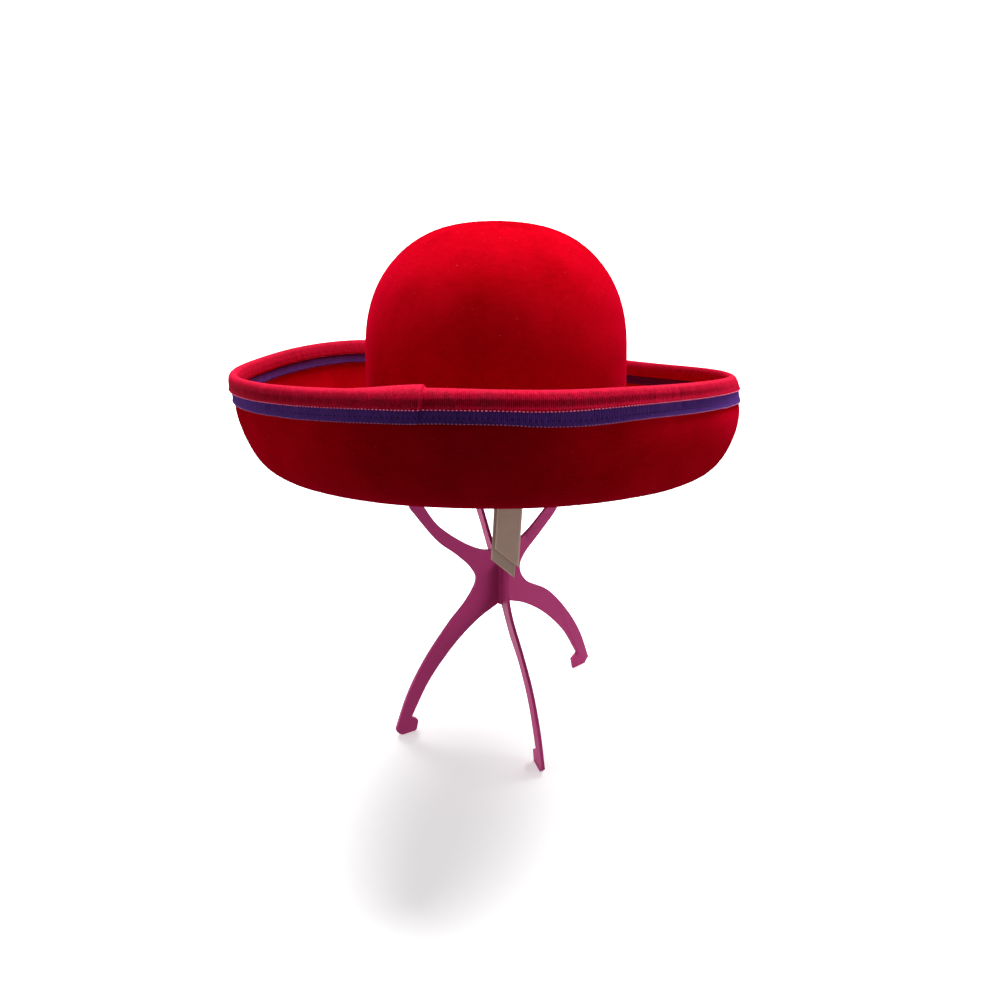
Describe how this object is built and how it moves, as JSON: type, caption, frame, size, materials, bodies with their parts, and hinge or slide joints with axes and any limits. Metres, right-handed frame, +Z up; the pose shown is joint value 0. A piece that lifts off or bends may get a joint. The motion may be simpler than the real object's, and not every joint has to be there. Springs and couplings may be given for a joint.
{
  "type": "felt hat on a folding hat stand",
  "caption": "Round-crowned red felt hat with a rolled-up brim and doubled ribbon edge, shown on a plain plastic stand with curved legs and arms that carry the crown.",
  "frame": {"origin": "bottom centre of the whole object's box, on the plane of the stand's soles", "axes": "+Z up, -Y towards the hat's near side where the brim is lifted, +X to the hat's right side as seen from there"},
  "size_m": [0.3176, 0.3526, 0.3751],
  "materials": {
    "red_felt": "matt blocked wool felt with a short nap",
    "purple_ribbon": "grosgrain ribbon with fine cross ribs",
    "red_ribbon": "grosgrain ribbon with fine cross ribs",
    "beige_ribbon": "plain smooth tape",
    "pink_plastic": "satin moulded plastic"
  },
  "bodies": {
    "root": {"felt_body": "red_felt", "purple_band": "purple_ribbon", "red_binding": "red_ribbon", "hanging_tab": "beige_ribbon", "stand_left_leaf": "pink_plastic", "stand_right_leaf": "pink_plastic", "stand_cross_leaf": "pink_plastic"}
  },
  "joints": []
}
